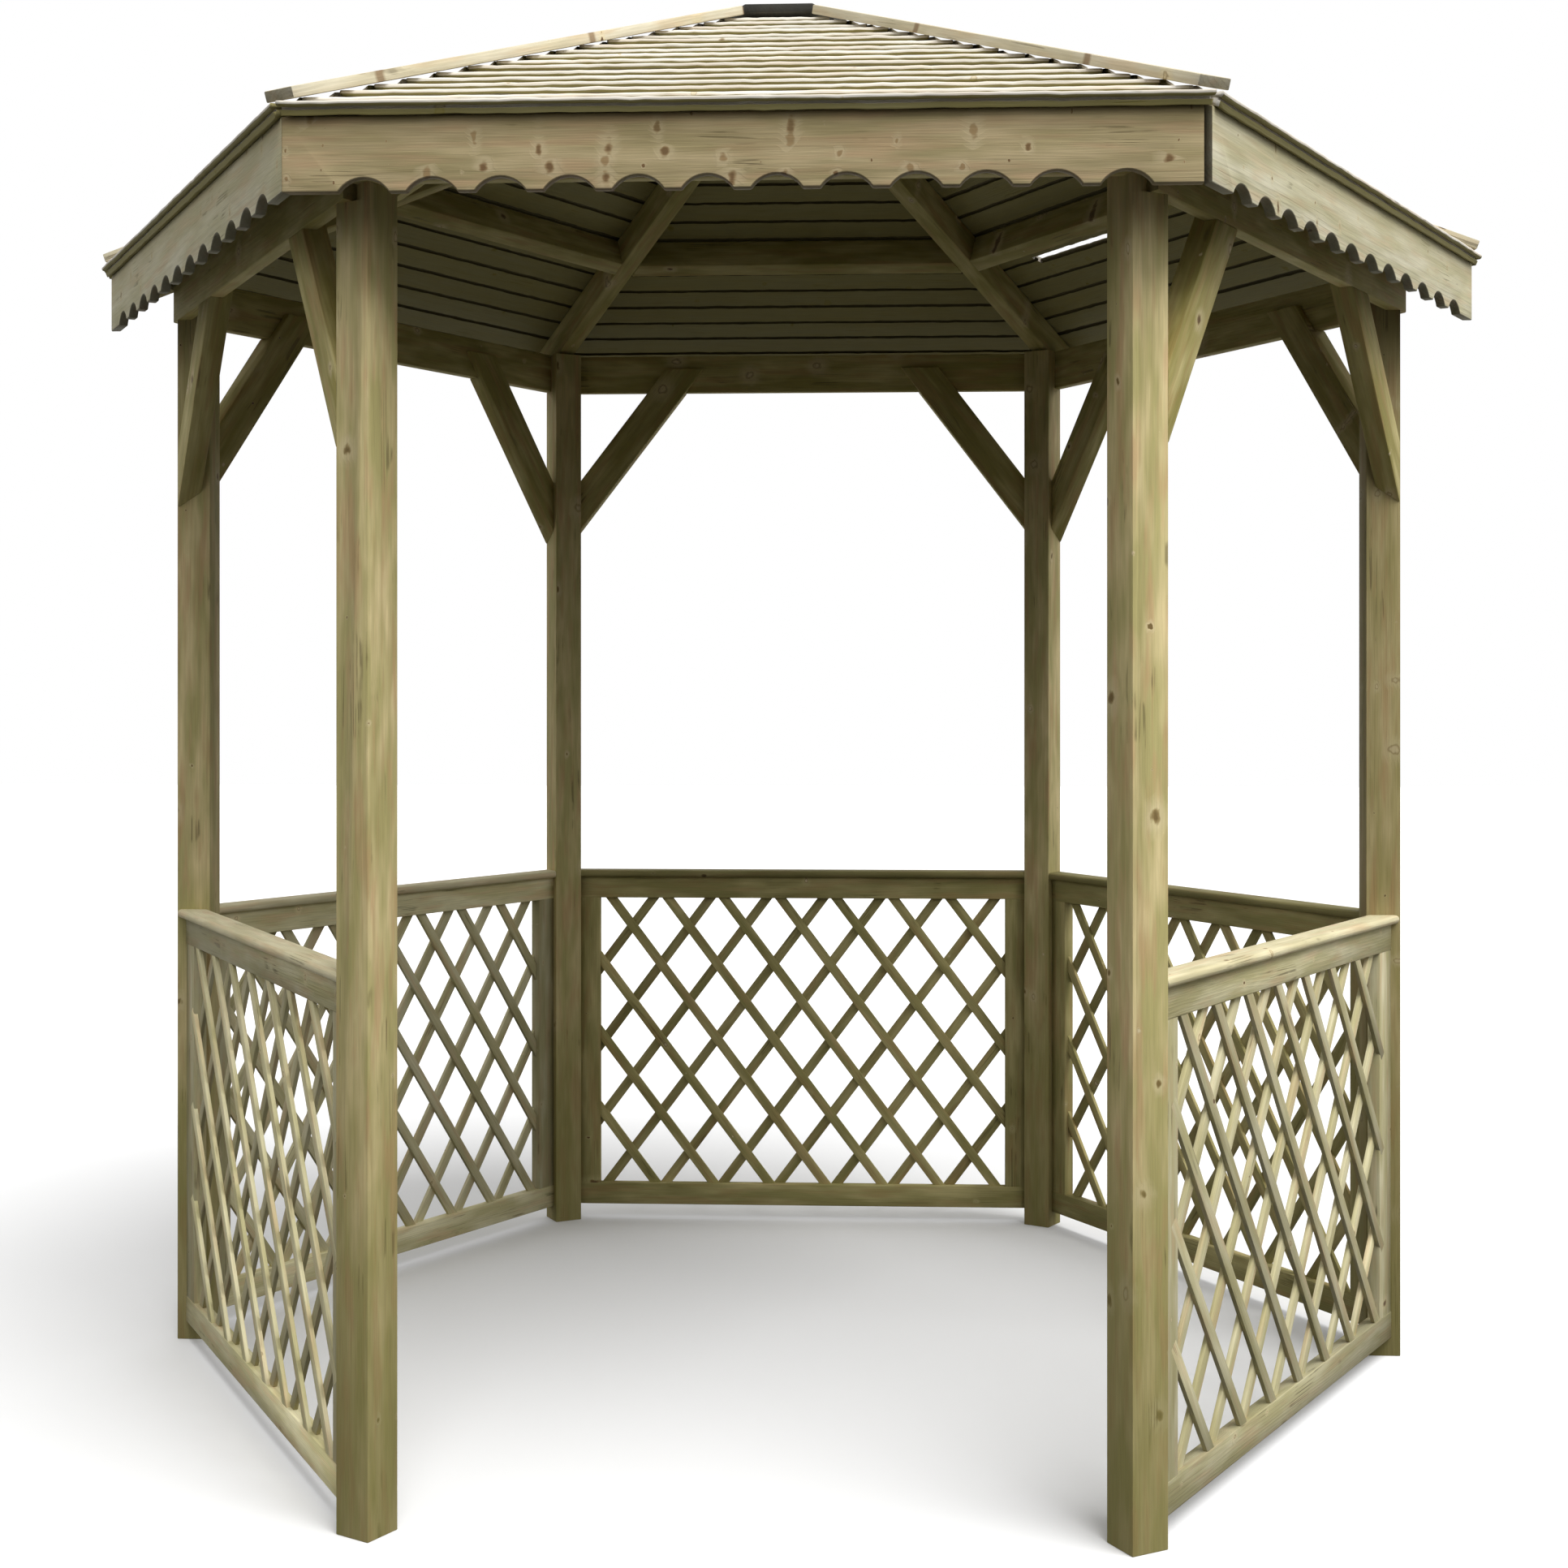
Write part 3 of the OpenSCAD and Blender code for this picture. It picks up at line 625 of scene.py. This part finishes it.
def boardMaster():
    thick, outer, hair, slack = roof["thick"], masterWide / 2, roof["hair"], roof["slack"]
    bpy.ops.object.select_all(action="DESELECT")
    bpy.ops.mesh.primitive_plane_add(size=1)
    board = bpy.context.object
    upright = Matrix.Diagonal((masterWide, 1, thick, 1)) @ Matrix.Rotation(math.radians(90), 4, "X")
    setPlace(board, Matrix.Translation((0, -0.5, thick / 2)) @ upright)
    # the section first: inner edge thinned, then the groove and the lower lip cut out of the outer edge and the
    # rebate out of the inner one
    selectEdges(board, lambda a, b: False)
    bpy.ops.mesh.select_mode(type="VERT")
    bpy.ops.object.mode_set(mode="OBJECT")
    for corner in board.data.vertices:
        corner.select = corner.co.x < 0 and corner.co.z > thick / 2
    bpy.ops.object.mode_set(mode="EDIT")
    bpy.ops.transform.translate(value=(0, 0, roof["inner"] - thick))
    for at, facing in (((0, 0, roof["grooveTop"]), up), ((0, 0, roof["grooveFoot"]), up),
                       ((outer - roof["groove"], 0, 0), (1, 0, 0)), ((outer - roof["lip"], 0, 0), (1, 0, 0)),
                       ((0, 0, roof["tongueFoot"]), up), ((roof["rebate"] - outer, 0, 0), (1, 0, 0))):
        bpy.ops.mesh.select_all(action="SELECT")
        bpy.ops.mesh.bisect(plane_co=at, plane_no=facing)
    selectFaces(board, lambda at, facing: at.z < roof["grooveTop"] and at.x > outer - roof["lip"]
                or roof["grooveFoot"] < at.z < roof["grooveTop"] and at.x > outer - roof["groove"]
                or at.z < roof["tongueFoot"] and at.x < roof["rebate"] - outer)
    bpy.ops.mesh.delete(type="FACE")
    # then its length
    bpy.ops.mesh.select_all(action="SELECT")
    bpy.ops.mesh.extrude_region_move(TRANSFORM_OT_translate={"value": (0, 1, 0)})
    bpy.ops.mesh.select_all(action="SELECT")
    bpy.ops.mesh.normals_make_consistent(inside=False)
    bpy.ops.mesh.dissolve_limited(angle_limit=handling["flat"])
    selectEdges(board, lambda a, b: lengthwise(a, b) and a.z > roof["grooveTop"] - hair and a.x > outer - hair)
    bpy.ops.mesh.bevel(offset=roof["nose"], segments=roof["noseSteps"], affect="EDGES")
    selectEdges(board, lambda a, b: lengthwise(a, b) and a.z < slack and abs(a.x) > outer * 0.8)
    bpy.ops.mesh.bevel(offset=roof["vee"], segments=1, affect="EDGES")
    selectEdges(board, lengthwise)
    bpy.ops.mesh.subdivide(number_cuts=roof["pieces"])
    bpy.ops.object.mode_set(mode="OBJECT")
    bpy.ops.object.shade_smooth_by_angle(angle=handling["sharp"])
    shares = {
        # under: down-facing faces and the board's edges, still green where the sun can't bleach them, darkened further
        # as painted shade
        "under": lambda at, facing: facing.z < roof["underFacing"] or facing.x < -roof["edgeFacing"]
        or facing.x > roof["edgeFacing"] and at.z < roof["grooveFoot"],
        # flat: the upward flats, weathered and darkened with painted shade against the stronger light from above
        "flat": lambda at, facing: facing.z > roof["flatFacing"],
        # joint: the faces in the rebate, darkened as painted shade
        "joint": lambda at, facing: slack < at.z < roof["inner"] - slack / 2 and at.x < roof["rebate"] - outer + hair,
    }
    for name, wanted in shares.items():
        share = board.data.attributes.new(name, "FLOAT", "FACE")
        share.data.foreach_set("value", [float(wanted(face.center, face.normal)) for face in board.data.polygons])
    return board


master = boardMaster()
waveSource = bpy.data.textures.new("boardWander", "CLOUDS")
waveSource.noise_scale = roof["waveLength"]
slotBay, slotA, slotTrim, slotFrom, slotTo = roof["slot"]
for bay, degrees in allBays.items():
    boards = []
    for inner, outer in zip(courses, courses[1:]):
        half = outer * math.tan(hipCut) + roof["spare"]
        stretches = [(-half, half, inner, outer)]
        above, below = abs(outer - slotA) < roof["slack"], abs(inner - slotA) < roof["slack"]
        if bay == slotBay and (above or below):
            trimmed = (slotFrom, slotTo, inner + slotTrim[1] * below, outer - slotTrim[0] * above)
            stretches = [(-half, slotFrom, inner, outer), trimmed, (slotTo, half, inner, outer)]
        tilt, lift = math.radians(draw.uniform(*roof["tilt"])), draw.uniform(0, roof["lift"])
        turn, hipGap = math.radians(draw.uniform(-roof["turn"], roof["turn"])), draw.uniform(*roof["hipGap"])
        for low, high, top, foot in stretches:
            board = copyPiece(master)
            tongue = 0 if top > inner else roof["tongue"]  # inner edge under the upper board's nose
            wide = (foot - top) / math.cos(roofAngle) - roof["gap"] + tongue
            setPlace(board, Matrix.Diagonal((wide / masterWide, high - low, 1, 1)))
            layGrain(board, (0, 1, 0), (1, 0, 0))
            middle = (foot + top) / 2 - roof["back"] - tongue / 2 * math.cos(roofAngle)
            lie = Matrix.Translation((middle, (low + high) / 2, eaveZ + (eaveA - middle) * math.tan(roofAngle)))
            lie = lie @ Matrix.Rotation(roofAngle - tilt, 4, "Y")
            setPlace(board, lie @ Matrix.Translation((0, 0, lift)) @ Matrix.Rotation(turn, 4, "X"))
            cutToPosts(board, hipGap)
            boards.append(board)
    slope = joinPieces("boards_roof_" + bay, boards)
    setPlace(slope, Matrix.Rotation(math.radians(degrees), 4, "Z"))
    wander = slope.modifiers.new("wander", "DISPLACE")
    wander.texture = waveSource
    wander.texture_coords = "LOCAL"
    wander.direction = "Z"
    wander.strength = roof["wave"]
    bpy.ops.object.modifier_apply(modifier=wander.name)
    dress(slope, roofPine, "roof_boards", "roof_" + bay)
bpy.data.objects.remove(master)
print("roof boards made")


# Studio: white floor that keeps the shadow, white surround, a soft key from the front right and dim low light,
# as over dark ground
studio = {"floorSize": 60, "floorSeen": 0.83, "floorBounce": 0.06, "key": 3.0, "keySoft": 42,
          "keyAzimuth": 308, "keyHeight": 58, "sky": {0.0: 0.1, 0.5: 1.28, 0.8: 0.65, 1.0: 0.4},
          "skySides": (0.8, 1.18)}


def seenItself(tree):  # 1 where the floor or sky is looked at, also in or through something, 0 where it only lights
    light = addNode(tree, "ShaderNodeLightPath").outputs
    seen = addNode(tree, "ShaderNodeMath", {0: light["Is Camera Ray"], 1: light["Is Glossy Ray"]}, operation="MAXIMUM")
    return addNode(tree, "ShaderNodeMath", {0: seen.outputs[0], 1: light["Is Transmission Ray"]},
                   operation="MAXIMUM").outputs[0]


bpy.ops.object.select_all(action="DESELECT")
bpy.ops.mesh.primitive_plane_add(size=studio["floorSize"])
floor = bpy.context.object
floor.name = "studioFloor"
paper = bpy.data.materials.new("whiteBackdropPaper")
paper.use_nodes = True
tree = paper.node_tree
tree.nodes.clear()
seen = seenItself(tree)
white = addNode(tree, "ShaderNodeMix", {0: seen, 6: (*[studio["floorBounce"]] * 3, 1),
                7: (*[studio["floorSeen"]] * 3, 1)}, data_type="RGBA").outputs[2]
matt = addNode(tree, "ShaderNodeBsdfDiffuse", {"Color": white}).outputs[0]
addNode(tree, "ShaderNodeOutputMaterial", {"Surface": matt})
floor.data.materials.append(paper)

world = bpy.data.worlds.new("whiteStudio")
bpy.context.scene.world = world
world.use_nodes = True
tree = world.node_tree
tree.nodes.clear()
seen = seenItself(tree)
way = addNode(tree, "ShaderNodeTexCoord").outputs["Generated"]
sideways, _, height = addNode(tree, "ShaderNodeSeparateXYZ", {0: way}).outputs
sky = addNode(tree, "ShaderNodeValToRGB", {0: height})  # how bright the sky is at each height, dim low down
sky.color_ramp.elements.remove(sky.color_ramp.elements[1])
for i, (at, bright) in enumerate(studio["sky"].items()):
    stop = sky.color_ramp.elements.new(at) if i else sky.color_ramp.elements[0]
    stop.position, stop.color = at, (bright, bright, bright, 1)
left, right = studio["skySides"]
sides = addNode(tree, "ShaderNodeMapRange", {0: sideways, 1: -1.0, 2: 1.0, 3: left, 4: right}).outputs[0]
sky = addNode(tree, "ShaderNodeMath", {0: sky.outputs[0], 1: sides}, operation="MULTIPLY").outputs[0]
strength = addNode(tree, "ShaderNodeMix", {0: seen, 2: sky, 3: 1.0}).outputs[0]
back = addNode(tree, "ShaderNodeBackground", {"Color": (1, 1, 1, 1), "Strength": strength}).outputs[0]
addNode(tree, "ShaderNodeOutputWorld", {"Surface": back})

azimuth, height = math.radians(studio["keyAzimuth"]), math.radians(studio["keyHeight"])
towardsKey = Vector((math.cos(azimuth) * math.cos(height), math.sin(azimuth) * math.cos(height), math.sin(height)))
bpy.ops.object.light_add(type="SUN", rotation=towardsKey.to_track_quat("Z", "Y").to_euler())
key = bpy.context.object
key.name = "softKey"
key.data.energy = studio["key"]
key.data.angle = math.radians(studio["keySoft"])

# Camera: level, a little to the right of the middle, its frame let down to take in the ground
view = {"place": (0.2251, -4.6073, 1.3577), "turn": 2.7328, "lens": 50.07, "sensor": 36, "drop": -0.0532}
bpy.ops.object.camera_add(location=view["place"], rotation=(math.radians(90), 0, math.radians(view["turn"])))
camera = bpy.context.object
camera.data.lens = view["lens"]
camera.data.sensor_width = view["sensor"]
camera.data.shift_y = view["drop"]
bpy.context.scene.camera = camera
bpy.context.scene.view_settings.view_transform = "Standard"
print("studio made")
